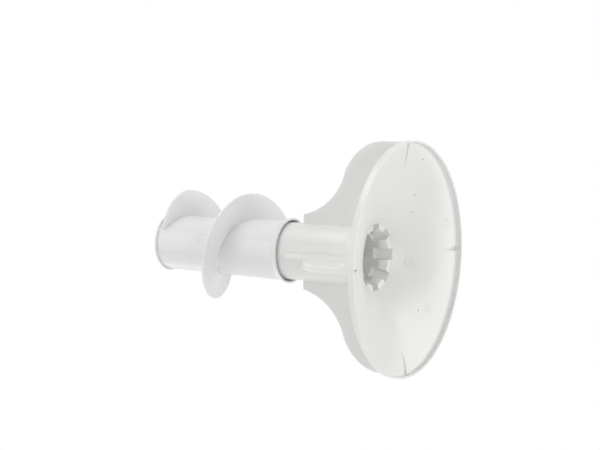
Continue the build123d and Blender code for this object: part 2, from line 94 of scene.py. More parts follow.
slit_floor_half = 0.0022
slit_depth = 0.0034
slit_inner_radius = 0.130
slit_outer_radius = fin_radius - 0.0024
slit_run_in = 0.25
bell_end_radius = 0.052
mouth_radius = 0.046
bore_radius = 0.036
bore_middle_height = 0.0735
recess_half_width = 0.008
recess_mouth_radius = 0.047
recess_end_radius = 0.039
recess_height = 0.024
rib_radius = 0.0345
rib_half_width = 0.0035
rib_gap = 0.002
web_bottom = 0.148
web_top = 0.156
web_ring_gap = 0.006
boss_ring_gap = 0.001
bolt_hole_radius = 0.00595
bolt_boss_radius = 0.014
bolt_boss_top = 0.162
neck_radius = 0.0366
neck_bore_radius = 0.0334
neck_bore_top = 0.2966
neck_top = 0.303
collar_bore_radius = 0.0298
collar_bore_bottom = 0.2998
collar_radius = 0.033
collar_top = 0.322
key_bottom = 0.316
key_half_width = 0.004
key_columns = 5
quarter = math.radians(90)
eighth = math.radians(45)

# handles of the fin's free edge: at its top corner, either side of its waist, and over the rim
corner_handle, waist_upper_handle, waist_lower_handle, rim_handle = 0.043, 0.019, 0.0155, 0.0385

# a land of the socket, by radius and height over the mouth: bright flat edge, lead-in, bore
lands_start_radius = 0.0477
land_profile = ((0.0399, 0.0011), (0.0396, 0.0014), (0.0372, 0.0098), (0.0362, 0.0118), (bore_radius, 0.0132))

# heights of the rows on a recess's leaning floor
recess_row_heights = (0.0555, 0.0575, 0.0590, 0.0650, 0.0680, 0.0700)

# columns over an eighth of the circle: fin top, its rounded edge, its side, its root fillet, open skirt
top_columns, edge_columns, side_columns, fillet_columns, open_columns = 3, 3, 6, 6, 23
fin_columns = top_columns + edge_columns + side_columns + fillet_columns
last_column = fin_columns - 1 + open_columns

# rows of the outside: along the skirt's arc, round the root fillet, up the column beside the fins,
# over them to the column's shoulder, and up the neck
skirt_rows, bend_rows, column_rows, shoulder_rows, neck_rows = 27, 13, 11, 4, 7

# rows of the inside: along a slit, and from its end to the socket; by the radius given, the bell's
# columns have turned from the rim's angles to the socket's
slit_rows, bell_end_rows = 13, 30
all_turned_radius = 0.066

# places of the columns across a slit's floor, as shares of its half width, and across the two
# recesses of an eighth, where the doubled places are the two sides of a rib
slit_floor_shares = np.array((0, 0.7, 1))
first_recess_across = np.array((0, 1.4, 2.8, 2.8, 4.2, 4.2, 6.0, 8.0)) / 1000
last_recess_across = np.array((8.0, 6.0, 4.0, 2.0, 0)) / 1000
rib_columns = (3, 4)


def skirt_centre():
    """Centre of the skirt's outer arc, which runs from the rim's ledge to the foot of the column."""
    chord = math.hypot(fin_radius - column_radius, skirt_rise)
    stand_off = math.sqrt(skirt_curve_radius**2 - (chord / 2) ** 2)
    out = (fin_radius + column_radius) / 2 + skirt_rise / chord * stand_off
    return out, rim_height + skirt_rise / 2 + (fin_radius - column_radius) / chord * stand_off


def skirt_height(radius, depth=0.0):
    """Height of the skirt at a radius: its outer arc, or the arc this deep under it."""
    out, height = skirt_centre()
    return height - np.sqrt((skirt_curve_radius + depth) ** 2 - (out - radius) ** 2)


def fin_half_thickness(radius):
    """Half the fin's thickness, growing evenly from the axis to the rim."""
    return fin_root_half + (fin_edge_half - fin_root_half) * radius / rim_radius


def bezier(a, b, c, d, count):
    """Points on the cubic curve with these four control points."""
    t = np.linspace(0, 1, count)[:, None]
    a, b, c, d = (np.array(p) for p in (a, b, c, d))
    return (1 - t) ** 3 * a + 3 * (1 - t) ** 2 * t * b + 3 * (1 - t) * t**2 * c + t**3 * d


def spaced(points, count):
    """Points evenly spaced along a dense run of points."""
    at = np.r_[0, np.cumsum(np.hypot(*np.diff(points, axis=0).T))]
    share = np.linspace(0, at[-1], count)
    return np.stack([np.interp(share, at, points[:, i]) for i in (0, 1)], axis=1)


def fin_outline(count):
    """Radius and height up the fin's S-shaped free edge, from the rim end to its top corner.

    Two cubic curves meet at the waist, and the points are evenly spaced along them.
    """
    waist = np.array(fin_waist)
    level = np.array((1, fin_waist_slope)) / math.hypot(1, fin_waist_slope)
    lean = np.array((fin_corner_lean, -1)) / math.hypot(fin_corner_lean, 1)
    corner = np.array((fin_corner_radius, fin_height))
    foot = np.array((fin_radius, fin_edge_straight))
    over_foot = foot + (0, rim_handle)
    upper = bezier(corner, corner + corner_handle * lean, waist - waist_upper_handle * level, waist, 200)
    lower = bezier(waist, waist + waist_lower_handle * level, over_foot, foot, 200)
    return spaced(np.vstack([upper, lower[1:]])[::-1], count)


def base_line():
    """Radius, height and normal of the skin that the fins stand on: skirt arc, root fillet, column."""
    out, height = skirt_centre()
    reach = skirt_curve_radius - skirt_column_fillet
    fillet_out = column_radius + skirt_column_fillet
    fillet_height = height - math.sqrt(reach**2 - (out - fillet_out) ** 2)
    meet = out + (fillet_out - out) * skirt_curve_radius / reach
    r = np.linspace(fin_radius - fin_edge_round, meet, skirt_rows)[:-1]
    skirt = np.stack([r, skirt_height(r), (out - r), height - skirt_height(r)], axis=1)
    start = math.atan2(skirt_height(meet) - fillet_height, meet - fillet_out)
    turn = np.linspace(start, -math.pi, bend_rows)
    bend = np.stack(
        [
            fillet_out + skirt_column_fillet * np.cos(turn),
            fillet_height + skirt_column_fillet * np.sin(turn),
            -np.cos(turn),
            -np.sin(turn),
        ],
        axis=1,
    )
    z = np.linspace(fillet_height, fin_height, column_rows)[1:]
    column = np.stack([0 * z + column_radius, z, 0 * z + 1, 0 * z], axis=1)
    rows = np.vstack([skirt, bend, column])
    rows[:, 2:] /= np.hypot(rows[:, 2], rows[:, 3])[:, None]
    return rows


def outer_rows():
    """Rows of the outside, each as radius, angle and height over an eighth of the circle.

    A fin's section goes from its middle over a rounded edge, down its side and out along a root
    fillet that turns into a straight flare at the rim; past it the row follows the skirt.
    """
    corner_turn = np.radians((0, 30, 60))
    line = base_line()
    shrink = np.r_[fin_edge_round * (1 - np.sin(corner_turn)), np.zeros(len(line))]
    edge = np.r_[fin_edge_round * np.sin(corner_turn), np.full(len(line), fin_edge_round)]
    corner_r = fin_radius - fin_edge_round * (1 - np.cos(corner_turn))
    corner = np.stack([corner_r, skirt_height(corner_r), 0 * corner_r, 0 * corner_r + 1], axis=1)
    foot = np.vstack([corner, line])
    outline = fin_outline(len(line))
    outline[:, 0] = np.minimum(outline[:, 0], fin_radius)
    crest = np.vstack([np.stack([corner_r, 0 * corner_r + fin_edge_straight], axis=1), outline])
    slope = np.gradient(crest, axis=0)
    slope[: len(corner) + 1] = (0, 1)
    outward = np.stack([slope[:, 1], -slope[:, 0]], axis=1)
    outward /= np.hypot(*outward.T)[:, None]
    a, n = foot[:, None, :2], foot[:, None, 2:]
    b, m = crest[:, None], outward[:, None]
    flare = np.clip((foot[:, 0] - fin_foot_inner_radius) / (fin_radius - fin_foot_inner_radius), 0, 1)
    grown = fin_foot_least + (1 - fin_foot_least) * flare
    wide = np.maximum(fin_root_fillet, fin_foot_width * grown)[:, None]
    tall = np.maximum(fin_root_fillet, fin_foot_height * grown)[:, None]
    straight = np.clip(flare * fin_foot_straightening, 0, 1)[:, None]
    straight = straight * straight * (3 - 2 * straight)
    shrink, edge = shrink[:, None], edge[:, None]

    turn = np.linspace(90, 0, edge_columns + 1)[None, 1:] * math.pi / 180
    down = np.linspace(1, 0, side_columns + 1)[None, 1:, None]
    roll = np.linspace(90, 0, fillet_columns + 1)[None, 1:] * math.pi / 180
    rise = (1 - straight) * (1 - np.cos(roll)) + straight * roll * 2 / math.pi
    spread = (1 - straight) * (1 - np.sin(roll)) + straight * (1 - roll * 2 / math.pi)
    shoulder = b - m * edge[:, :, None]
    hip = a + n * tall[:, :, None]
    hip[:, :, 0] = np.minimum(hip[:, :, 0], a[:, :, 0])
    section = [
        np.repeat(b, top_columns, axis=1),
        b - m * (edge * (1 - np.sin(turn)))[:, :, None],
        hip + (shoulder - hip) * down,
        a + (hip - a) * rise[:, :, None],
    ]
    section = np.concatenate(section, axis=1)
    half = fin_half_thickness(section[:, :, 0]) - shrink
    middle = np.linspace(0, 1, top_columns)[None]
    top_part = slice(0, top_columns)
    edge_part = slice(top_columns, top_columns + edge_columns)
    fillet_part = slice(fin_columns - fillet_columns, fin_columns)
    across = half.copy()
    across[:, top_part] = (half[:, top_part] - edge) * middle
    across[:, edge_part] -= edge * (1 - np.cos(turn))
    across[:, fillet_part] += wide * spread
    radius, height = section[:, :, 0], section[:, :, 1]
    angle = np.arcsin(across / radius)
    share = np.linspace(0, 1, open_columns + 1)[None, 1:]
    open_angle = angle[:, -1:] + (eighth - angle[:, -1:]) * share
    radius = np.hstack([radius, np.repeat(foot[:, :1], open_columns, axis=1)])
    height = np.hstack([height, np.repeat(foot[:, 1:2], open_columns, axis=1)])
    angle = np.hstack([angle, open_angle])
    return radius, angle, height, across


def closing_angles(radius, half, across, end_angle):
    """Column angles on a plain row that closes a fin's end.

    The fin's columns are spread evenly over its half thickness, and its fillet's keep their places.
    """
    keep = fin_columns - fillet_columns
    y = np.r_[half * np.arange(keep) / (keep - 1), across[keep:fin_columns]]
    angle = np.arcsin(y / radius)
    share = np.linspace(0, 1, open_columns + 1)[1:]
    return np.r_[angle, angle[-1] + (end_angle - angle[-1]) * share]


def plain_row(radius, height, angles):
    """One row at a single radius and height."""
    return np.full(len(angles), radius), angles, np.full(len(angles), height)


def socket_angles(radius):
    """Column angles in the drive socket: flat recess, land, flat recess, by the radius of the land."""
    first, last = first_recess_across, last_recess_across
    edge = math.asin(recess_half_width / radius)
    lands = np.linspace(edge, eighth - edge, last_column + 1 - len(first) - len(last))
    return np.r_[np.arcsin(first / radius), lands, eighth - np.arcsin(last / radius)]


def rounded(corners, reach, steps=4):
    """A profile with each inner corner cut back by up to this reach and rounded.

    Each round is a quadratic curve from one cut to the other, with the corner as its handle. A cut
    leaves more than half of its side.
    """
    longest_cut = 0.45
    corners = [np.array(c, float) for c in corners]
    points = [corners[0]]
    t = np.linspace(0, 1, steps)[:, None]
    for before, here, after in zip(corners, corners[1:], corners[2:]):
        back, ahead = before - here, after - here
        start = here + back * min(reach / np.hypot(*back), longest_cut)
        end = here + ahead * min(reach / np.hypot(*ahead), longest_cut)
        points += list((1 - t) ** 2 * start + 2 * t * (1 - t) * here + t**2 * end)
    return np.array(points + [corners[-1]])


def slit_row(radius, ring, grooved):
    """One row across a fin's slit, with the columns of the rim's ring spread over the rest of the bell.

    The slit is a V groove: its mouth and floor widen evenly from its inner end to the rim, and its
    depth grows over a quarter of its length and then stays.
    """
    share = np.clip((radius - slit_inner_radius) / (slit_outer_radius - slit_inner_radius), 0, 1)
    floor_columns = len(slit_floor_shares)
    start = math.asin(slit_mouth_half * share / radius)
    edge = ring[floor_columns]
    angles = start + (eighth - start) * (ring - edge) / (eighth - edge)
    angles[:floor_columns] = np.arcsin(slit_floor_half * share * slit_floor_shares / radius)
    height = np.full(len(ring), skirt_height(radius, skirt_wall))
    if grooved:
        height[:floor_columns] += slit_depth * min(1, share / slit_run_in)
    return np.full(len(ring), radius), angles, height


def bell_rows(ring):
    """Rows from the rim's inner foot up over the fins' notches, along the slits and in to the socket.

    A row of the bell lies on the skirt's arc moved in by the wall.
    """
    inner = rim_radius - rim_band
    start = slit_row(inner, ring, False)[1]
    foot = rounded([(inner + rim_round * 2, 0.0), (inner, 0.0), (inner, rim_round * 2)], rim_round)
    rows = [plain_row(r, z, start) for r, z in foot[1:]]
    rows.append(plain_row(inner, notch_bottom, start))
    in_notch = np.arange(len(ring)) < len(slit_floor_shares)
    notch_top = skirt_height(slit_outer_radius, skirt_wall)
    for z, wall_z in ((notch_bottom, notch_bottom), (notch_top, skirt_height(inner, skirt_wall))):
        radius = np.where(in_notch, inner + notch_depth, inner)
        rows.append((radius, start, np.where(in_notch, z, wall_z)))

    slit_radii = np.linspace(slit_outer_radius, slit_inner_radius, slit_rows)
    rows.append(slit_row(slit_outer_radius, ring, False))
    rows += [slit_row(r, ring, True) for r in slit_radii]
    rows.append(slit_row(slit_inner_radius, ring, False))

    slit_angles = rows[-1][1]
    for r in np.linspace(slit_inner_radius, bell_end_radius, bell_end_rows)[1:]:
        share = np.clip((slit_inner_radius - r) / (slit_inner_radius - all_turned_radius), 0, 1)
        share = share * share * (3 - 2 * share)
        angles = slit_angles + (socket_angles(r) - slit_angles) * share
        rows.append(plain_row(r, skirt_height(r, skirt_wall), angles))
    return rows


def socket_rows():
    """Rows of the drive socket: lands on one profile, recesses on another, joined by the recesses' sides.

    A recess is flat across: its points lie at the hypotenuse of its depth and their place across it.
    Its floor leans in evenly from the bell to the recess's top, where its roof runs in to the bore.
    """
    face = skirt_height(mouth_radius, skirt_wall)
    floor_start = skirt_height(recess_mouth_radius, skirt_wall)
    recess_top = floor_start + recess_height
    slope = (recess_mouth_radius - recess_end_radius) / recess_height
    lands = [(lands_start_radius, skirt_height(lands_start_radius, skirt_wall)), (mouth_radius, face)]
    lands += [(r, face + rise) for r, rise in land_profile]
    lands += [(bore_radius, bore_middle_height), (bore_radius, recess_top), (bore_radius, recess_top)]

    column = np.arange(last_column + 1)
    last_recess = column > last_column - len(last_recess_across)
    in_recess = (column < len(first_recess_across)) | last_recess
    across = np.zeros(last_column + 1)
    across[: len(first_recess_across)] = first_recess_across
    across[last_recess] = last_recess_across

    # on the bell the recess's depth and height hang together, and a few turns settle them
    settling_turns = 12
    depth = np.full(last_column + 1, recess_mouth_radius)
    for _ in range(settling_turns):
        on_the_bell = skirt_height(np.hypot(depth, across), skirt_wall)
        depth = recess_mouth_radius - slope * (on_the_bell - floor_start)
    floors = [(depth, on_the_bell)]
    for z in (*recess_row_heights, recess_top):
        floors.append((recess_mouth_radius - slope * (z - floor_start), z))
    floors += [(np.sqrt(bore_radius**2 - across**2), recess_top)] * 2

    rows = []
    for (r, z), (depth, floor_z) in zip(lands, floors):
        turn = np.arctan2(across, depth)
        turn = np.where(last_recess, eighth - turn, turn)
        radius = np.where(in_recess, np.hypot(depth, across), r)
        angles = np.where(in_recess, turn, socket_angles(r))
        rows.append((radius, angles, np.where(in_recess, floor_z, z)))
    return rows


def web_rows():
    """Rows up the ribbed bore, in along the web, through the bolt's boss and up inside the neck."""
    bore_angles = socket_angles(bore_radius)
    is_rib = np.isin(np.arange(last_column + 1), rib_columns)
    rib_bottom = skirt_height(recess_mouth_radius, skirt_wall) + recess_height + rib_gap
    rows = []
    for z, ribbed in ((rib_bottom, False), (rib_bottom, True), (web_bottom, True)):
        radius = np.where(is_rib & ribbed, np.hypot(rib_radius, rib_half_width), bore_radius)
        angles = np.where(is_rib, np.arcsin(bore_radius * np.sin(bore_angles) / radius), bore_angles)
        rows.append((radius, angles, np.full(len(angles), z)))
    profile = (
        (bore_radius - web_ring_gap, web_bottom),
        (bolt_boss_radius + boss_ring_gap, web_bottom),
        (bolt_hole_radius, web_bottom),
        (bolt_hole_radius, bolt_boss_top),
        (bolt_boss_radius, bolt_boss_top),
        (bolt_boss_radius, web_top),
        (neck_bore_radius, web_top),
        (neck_bore_radius, neck_bore_top),
        (collar_bore_radius, collar_bore_bottom),
    )
    return rows + [plain_row(r, z, bore_angles) for r, z in profile]


def collar_rows():
    """Rows up the collar's bore, over its top with the four key notches, and down to the neck's top."""
    in_key = np.arange(last_column + 1) < key_columns
    key = np.r_[np.linspace(0, key_half_width, key_columns), key_half_width]
    profile = (
        (collar_bore_radius, key_bottom, False),
        (collar_bore_radius, collar_top, True),
        (collar_radius, collar_top, True),
        (collar_radius, key_bottom, False),
        (collar_radius, neck_top, False),
    )
    rows = []
    for r, z, notched in profile:
        start = np.arcsin(key / r)
        angles = np.r_[start, np.linspace(start[-1], eighth, last_column + 2 - len(start))[1:]]
        rows.append((np.full(len(angles), r), angles, np.where(in_key & notched, key_bottom, z)))
    return rows


def whole_circle(rows):
    """Columns over an eighth mirrored and repeated to the whole circle, as points in space."""
    radius, angle, height = (np.array([row[i] for row in rows]) for i in range(3))
    turns = []
    for k in range(4):
        turns.append((radius, k * quarter + angle, height))
        turns.append((radius[:, -2:0:-1], (k + 1) * quarter - angle[:, -2:0:-1], height[:, -2:0:-1]))
    radius, angle, height = (np.hstack([t[i] for t in turns]) for i in range(3))
    return np.stack([radius * np.cos(angle), radius * np.sin(angle), height], axis=2)


def net(grids, name, sharp):
    """One mesh from grids of points, each given as (points, rows closed, columns closed).

    Neighbouring rows and columns make its quads, doubles are merged, and edges that turn by more
    than the sharp angle, in degrees, stay sharp.
    """
    corners, quads, start = [], [], 0
    for points, close_rows, close_columns in grids:
        m, n = points.shape[:2]
        row_steps = m if close_rows else m - 1
        column_steps = n if close_columns else n - 1
        i, j = np.meshgrid(np.arange(row_steps), np.arange(column_steps), indexing="ij")
        i2, j2 = (i + 1) % m, (j + 1) % n
        around = (i * n + j, i * n + j2, i2 * n + j2, i2 * n + j)
        quads.append(np.stack(around, axis=2).reshape(-1, 4) + start)
        corners.append(points.reshape(-1, 3))
        start += m * n
    mesh = bpy.data.meshes.new(name)
    mesh.from_pydata(np.vstack(corners).tolist(), [], np.vstack(quads).tolist())
    tidy = bmesh.new()
    tidy.from_mesh(mesh)
    bmesh.ops.remove_doubles(tidy, verts=tidy.verts, dist=2e-6)
    bmesh.ops.dissolve_degenerate(tidy, edges=tidy.edges, dist=1e-6)
    bmesh.ops.recalc_face_normals(tidy, faces=tidy.faces)
    tidy.to_mesh(mesh)
    tidy.free()
    mesh.shade_smooth()
    mesh.set_sharp_from_angle(angle=math.radians(sharp))
    piece = bpy.data.objects.new(name, mesh)
    bpy.context.collection.objects.link(piece)
    return piece


outer_radius, outer_angle, outer_height, outer_across = outer_rows()
ring = closing_angles(fin_radius, fin_half_thickness(fin_radius) - fin_edge_round, outer_across[0], eighth)
cap_ring = closing_angles(column_radius, fin_half_thickness(column_radius), outer_across[-1], eighth)
inside = bell_rows(ring) + socket_rows() + web_rows() + collar_rows()
collar_angles = inside[-1][1]
rim_corners = [
    (rim_radius - rim_ledge, 0.0),
    (rim_radius, 0.0),
    (rim_radius, rim_height),
    (fin_radius, rim_height),
]
rows = [plain_row(r, z, ring) for r, z in rounded(rim_corners, rim_round)[1:]]
rows += list(zip(outer_radius, outer_angle, outer_height))
rows.append(plain_row(column_radius, fin_height, cap_ring))
for z in np.linspace(fin_height, column_height, shoulder_rows)[1:]:
    rows.append(plain_row(column_radius, z, cap_ring))
for share in np.linspace(0, 1, neck_rows):
    angles = cap_ring + (collar_angles - cap_ring) * share
    rows.append(plain_row(neck_radius, column_height + (neck_top - column_height) * share, angles))
rows += inside[::-1]
base = net([(whole_circle(rows), True, True)], "agitator_base_moulding", sharp=32)
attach(base, "base")
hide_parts("agitator_base")


def grain_group():
    """Surface of moulded plastic: fine orange peel and broad flow marks, as a normal and two masks."""
    group = bpy.data.node_groups.new("moulded grain", "ShaderNodeTree")
    sockets = group.interface
    for name, value in (("Grain scale", 900.0), ("Grain depth", 0.00002), ("Flow scale", 14.0)):
        sockets.new_socket(name, in_out="INPUT", socket_type="NodeSocketFloat").default_value = value
    sockets.new_socket("Normal", in_out="OUTPUT", socket_type="NodeSocketVector")
    sockets.new_socket("Flow", in_out="OUTPUT", socket_type="NodeSocketFloat")
    sockets.new_socket("Grain", in_out="OUTPUT", socket_type="NodeSocketFloat")
    nodes, links = group.nodes, group.links
    given = nodes.new("NodeGroupInput")
    result = nodes.new("NodeGroupOutput")
    place = nodes.new("ShaderNodeTexCoord")
    fine = nodes.new("ShaderNodeTexNoise")
    fine.inputs["Detail"].default_value = 3
    broad = nodes.new("ShaderNodeTexNoise")
    broad.inputs["Detail"].default_value = 2
    bump = nodes.new("ShaderNodeBump")
    for texture, scale in ((fine, "Grain scale"), (broad, "Flow scale")):
        links.new(place.outputs["Object"], texture.inputs["Vector"])
        links.new(given.outputs[scale], texture.inputs["Scale"])
    links.new(fine.outputs["Fac"], bump.inputs["Height"])
    links.new(given.outputs["Grain depth"], bump.inputs["Distance"])
    links.new(bump.outputs["Normal"], result.inputs["Normal"])
    links.new(broad.outputs["Fac"], result.inputs["Flow"])
    links.new(fine.outputs["Fac"], result.inputs["Grain"])
    return group


moulded_grain = grain_group()


def moulded_plastic(
    name,
    light,
    dark,
    roughness,
    see_through=0.2,
    grain_scale=900.0,
    grain_depth=0.00002,
    flow_scale=14.0,
):
    """Glossy moulded plastic that lets a little light into it.

    Along the melt's flow marks its colour drifts from dark to light, and its roughness from 0.85 to
    1.2 times the value given.
    """
    material = bpy.data.materials.new(name)
    material.use_nodes = True
    nodes, links = material.node_tree.nodes, material.node_tree.links
    skin = nodes["Principled BSDF"]
    grain = nodes.new("ShaderNodeGroup")
    grain.node_tree = moulded_grain
    grain.inputs["Grain scale"].default_value = grain_scale
    grain.inputs["Grain depth"].default_value = grain_depth
    grain.inputs["Flow scale"].default_value = flow_scale
    tint = nodes.new("ShaderNodeValToRGB")
    tint.color_ramp.interpolation = "EASE"
    tint.color_ramp.elements[0].position = 0.2
    tint.color_ramp.elements[0].color = (*dark, 1)
    tint.color_ramp.elements[1].position = 0.8
    tint.color_ramp.elements[1].color = (*light, 1)
    gloss = nodes.new("ShaderNodeMapRange")
    gloss.inputs["To Min"].default_value = roughness * 0.85
    gloss.inputs["To Max"].default_value = roughness * 1.2
    links.new(grain.outputs["Flow"], tint.inputs["Fac"])
    links.new(tint.outputs["Color"], skin.inputs["Base Color"])
    links.new(grain.outputs["Flow"], gloss.inputs["Value"])
    links.new(gloss.outputs["Result"], skin.inputs["Roughness"])
    links.new(grain.outputs["Normal"], skin.inputs["Normal"])
    skin.inputs["Subsurface Weight"].default_value = see_through
    skin.inputs["Subsurface Radius"].default_value = (0.004, 0.004, 0.0037)
    skin.inputs["Subsurface Scale"].default_value = 1.0
    return material


base_light, base_dark = (0.81, 0.805, 0.79), (0.79, 0.785, 0.77)
base.data.materials.append(moulded_plastic("white base moulding", base_light, base_dark, roughness=0.24))

# Moulding marks on the base: the pins that push the moulding out of its mould leave low pads and
# rings on the bell, some of them proud on their uphill side, and a few nicks in the mould show as specks.
pad_place, pad_reach = (-0.0705, -0.0150), (0.0095, 0.0076)
small_pad_place, small_pad_reach = (-0.0120, -0.0660), (0.0036, 0.0042)
ring_places, ring_reach = ((-0.0861, -0.0809), (-0.1316, 0.0406)), 0.0060
speck_places = ((-0.0605, 0.0597), (-0.0501, 0.1362), (-0.0522, 0.0854), (-0.0650, -0.0808))
speck_reach = 0.0009
pad_least, pad_rise = 0.00008, 0.0009
ring_least, ring_rise = 0.00004, 0.00025
mark_sink = 0.0003
mark_columns = 33
mark_row_shares = (0, 0.25, 0.5, 0.7, 0.8, 0.88, 0.95, 1.0)


def proud_mark(place, reach, height, skin):
    """A low closed button on a skin: its outline is an oval of two half widths round a place.

    height(share, along) is how far the button stands proud at a share of its reach, and skin(x, y, h)
    is the point that stands h proud of the skin. The button's back lies a little inside the wall.
    """
    turn = np.linspace(0, 2 * math.pi, mark_columns)[None, :-1]
    share = np.array(mark_row_shares)[:, None]
    along, across = share * np.cos(turn), share * np.sin(turn)
    out = math.atan2(place[1], place[0])
    x = place[0] + along * reach[0] * math.cos(out) - across * reach[1] * math.sin(out)
    y = place[1] + along * reach[0] * math.sin(out) + across * reach[1] * math.cos(out)
    top = skin(x, y, height(share, along))
    back = skin(x, y, 0 * x - mark_sink)
    return np.concatenate([top, back[::-1]])


def on_bell(x, y, h):
    """Points standing h below the bell's inner skin, that is proud of it, since the bell faces down."""
    return np.stack([x, y, skirt_height(np.hypot(x, y), skirt_wall) - h], axis=2)


def tilted_pad(share, along):
    """Almost flush at its outer end and proud at its uphill end, with a rounded edge."""
    return (pad_least + pad_rise * np.clip(-along, 0, 1) ** 2) * np.sqrt(np.clip(1 - share**8, 0, 1))


def low_ring(share, along):
    """A low ridge near the rim of an almost flush disc."""
    ridge = np.exp(-(((share - 0.8) / 0.12) ** 2))
    return (ring_least + ring_rise * ridge) * np.clip((1 - share) / 0.05, 0, 1)


def round_speck(share, along):
    """A dome as high as it is wide."""
    return speck_reach * np.sqrt(np.clip(1 - share**2, 0, 1))


pad_grid = proud_mark(pad_place, pad_reach, tilted_pad, on_bell)
pad_mark = net([(pad_grid, False, True)], "ejector_pad_mark", sharp=50)
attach(pad_mark, "base")
matt_pad = moulded_plastic(
    "matt pin mark",
    (0.77, 0.765, 0.75),
    (0.69, 0.685, 0.67),
    roughness=0.5,
    see_through=0.0,
    grain_scale=500.0,
    grain_depth=0.00003,
    flow_scale=260.0,
)
pad_mark.data.materials.append(matt_pad)

ring_grids = [proud_mark(place, (ring_reach, ring_reach), low_ring, on_bell) for place in ring_places]
ring_grids.append(proud_mark(small_pad_place, small_pad_reach, tilted_pad, on_bell))
ring_marks = net([(grid, False, True) for grid in ring_grids], "ejector_ring_marks", sharp=50)
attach(ring_marks, "base")
pin_look = moulded_plastic("pin ring", base_light, base_dark, roughness=0.34, see_through=0.0)
ring_marks.data.materials.append(pin_look)

speck_grids = [proud_mark(place, (speck_reach, speck_reach), round_speck, on_bell) for place in speck_places]
mould_specks = net([(grid, False, True) for grid in speck_grids], "mould_specks", sharp=50)
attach(mould_specks, "base")
speck_light, speck_dark = (0.42, 0.40, 0.37), (0.32, 0.30, 0.28)
speck_look = moulded_plastic("dark speck", speck_light, speck_dark, roughness=0.6, see_through=0.0)
mould_specks.data.materials.append(speck_look)

# Auger sleeve: a second white moulding with one left-handed spiral vane. It turns on the column,
# carried by an inner ledge, and a ring of saw teeth inside lets it be driven one way only.
lip_bottom = 0.192
lip_radius = 0.047
lip_wall = 0.0026
lip_edge_top = 0.1945
flare_top = 0.201
barrel_foot_radius = 0.0435
barrel_top_radius = 0.0402
barrel_top = 0.401
barrel_wall = 0.0024
barrel_edge_round = 0.0006
tooth_count = 36
tooth_columns = 5
tooth_tip_radius = 0.0356
tooth_root_radius = 0.0382
tooth_bottom, tooth_top = 0.324, 0.340
tooth_face_angle = math.radians(-10.8)
ledge_radius = 0.0334
ledge_bottom, ledge_top = 0.3055, 0.3085
groove_bottom, groove_top = 0.34085, 0.34375
groove_depth = 0.001
vane_radius = 0.079
vane_foot = math.radians(213)
vane_sweep = math.radians(540)
vane_pitch = 0.112
vane_foot_height = 0.223
vane_root_half, vane_edge_half = 0.0022, 0.0016
vane_edge_round = 0.0012
vane_root_fillet = 0.0030
vane_foot_taper = math.radians(42)
vane_tip_taper = math.radians(66)
vane_sink = 0.00004
vane_least_reach = 0.00001
vane_fillet_share, vane_edge_share = 0.6, 0.3
vane_sections, vane_round_columns, vane_face_columns = 361, 6, 9


def barrel_radius(height):
    """Outer radius of the barrel, narrowing evenly from the flare to the top."""
    share = (height - flare_top) / (barrel_top - flare_top)
    return barrel_foot_radius + (barrel_top_radius - barrel_foot_radius) * share


def turned(profile, angles):
    """A profile of (radius, height) turned to these angles; a radius may be a row of values, one an angle."""
    radius = np.array([np.broadcast_to(r, angles.shape) for r, _ in profile])
    height = np.array([np.broadcast_to(z, angles.shape) for _, z in profile])
    return np.stack([radius * np.cos(angles), radius * np.sin(angles), height], axis=2)


def tooth_ring():
    """Angles and radii of the saw teeth's inner outline: each tooth ramps in and drops back at its face."""
    step = 2 * math.pi / tooth_count
    share = np.tile(np.linspace(0, 1, tooth_columns), tooth_count)
    angles = tooth_face_angle + step * (np.repeat(np.arange(tooth_count), tooth_columns) + share)
    return angles, tooth_root_radius + (tooth_tip_radius - tooth_root_radius) * share


def bore(height):
    """Inner radius of the barrel: its outer radius less its wall."""
    return barrel_radius(height) - barrel_wall


tooth_angles, tooth_radii = tooth_ring()
barrel_outside = rounded(
    [
        (lip_radius - lip_wall, lip_bottom),
        (lip_radius, lip_bottom),
        (lip_radius, lip_edge_top),
        (barrel_foot_radius, flare_top),
        (barrel_top_radius, barrel_top),
        (bore(barrel_top), barrel_top),
        (bore(groove_top), groove_top),
    ],
    barrel_edge_round,
)
barrel_inside = [
    (bore(groove_top) + groove_depth, groove_top),
    (bore(groove_top) + groove_depth, groove_bottom),
    (bore(groove_bottom), groove_bottom),
    (bore(tooth_top), tooth_top),
    (tooth_radii, tooth_top),
    (tooth_radii, tooth_bottom),
    (bore(tooth_bottom), tooth_bottom),
    (bore(ledge_top), ledge_top),
    (ledge_radius, ledge_top),
    (ledge_radius, ledge_bottom),
    (bore(ledge_bottom), ledge_bottom),
    (bore(flare_top), flare_top),
    (lip_radius - lip_wall, lip_edge_top),
]
barrel = turned([tuple(p) for p in barrel_outside] + barrel_inside, tooth_angles)


